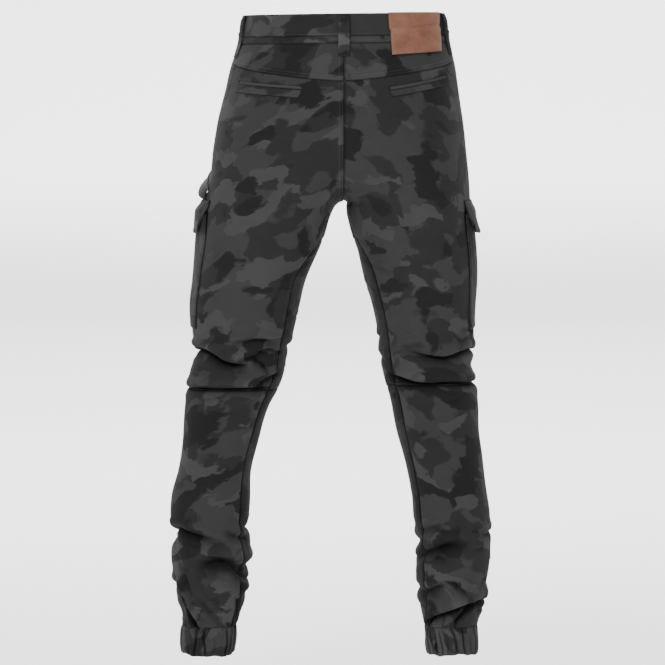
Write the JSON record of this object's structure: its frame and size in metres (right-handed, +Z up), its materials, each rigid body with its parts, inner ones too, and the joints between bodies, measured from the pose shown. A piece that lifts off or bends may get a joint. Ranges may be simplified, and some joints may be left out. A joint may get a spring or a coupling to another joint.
{
  "type": "motorcycle jeans",
  "caption": "Slim cargo jeans in grey camouflage twill with elastic cuffs, thigh pockets and a bare leather waist patch, hollow and filled out as when worn.",
  "frame": {"origin": "centre of the waistband's ring, 20 mm below its top edge at the sides", "axes": "+Z up the body, -Y to the wearer's front, +X to the wearer's left"},
  "size_m": [0.5203, 0.2481, 1.0289],
  "materials": {
    "camo_twill": "matte woven twill, three dark greys in a camouflage",
    "leather": "smooth brown leather, bare",
    "button_metal": "dark plated, satin"
  },
  "bodies": {
    "root": {"waistband": "camo_twill", "waistband_strip": "camo_twill", "yoke_left": "camo_twill", "yoke_right": "camo_twill", "back_thigh_left": "camo_twill", "back_thigh_right": "camo_twill", "back_calf_left": "camo_twill", "back_calf_right": "camo_twill", "front_thigh_left": "camo_twill", "front_thigh_right": "camo_twill", "front_calf_left": "camo_twill", "front_calf_right": "camo_twill", "cuff_left": "camo_twill", "cuff_right": "camo_twill", "cargo_pocket_left": "camo_twill", "cargo_pocket_right": "camo_twill", "cargo_flap_left": "camo_twill", "cargo_flap_right": "camo_twill", "back_welt_left": "camo_twill", "back_welt_right": "camo_twill", "zip_welt_left": "camo_twill", "fly": "camo_twill", "belt_loop_back": "camo_twill", "belt_loop_side_left": "camo_twill", "belt_loop_side_right": "camo_twill", "belt_loop_front_left": "camo_twill", "belt_loop_front_right": "camo_twill", "leather_patch": "leather", "button": "button_metal"}
  },
  "joints": []
}
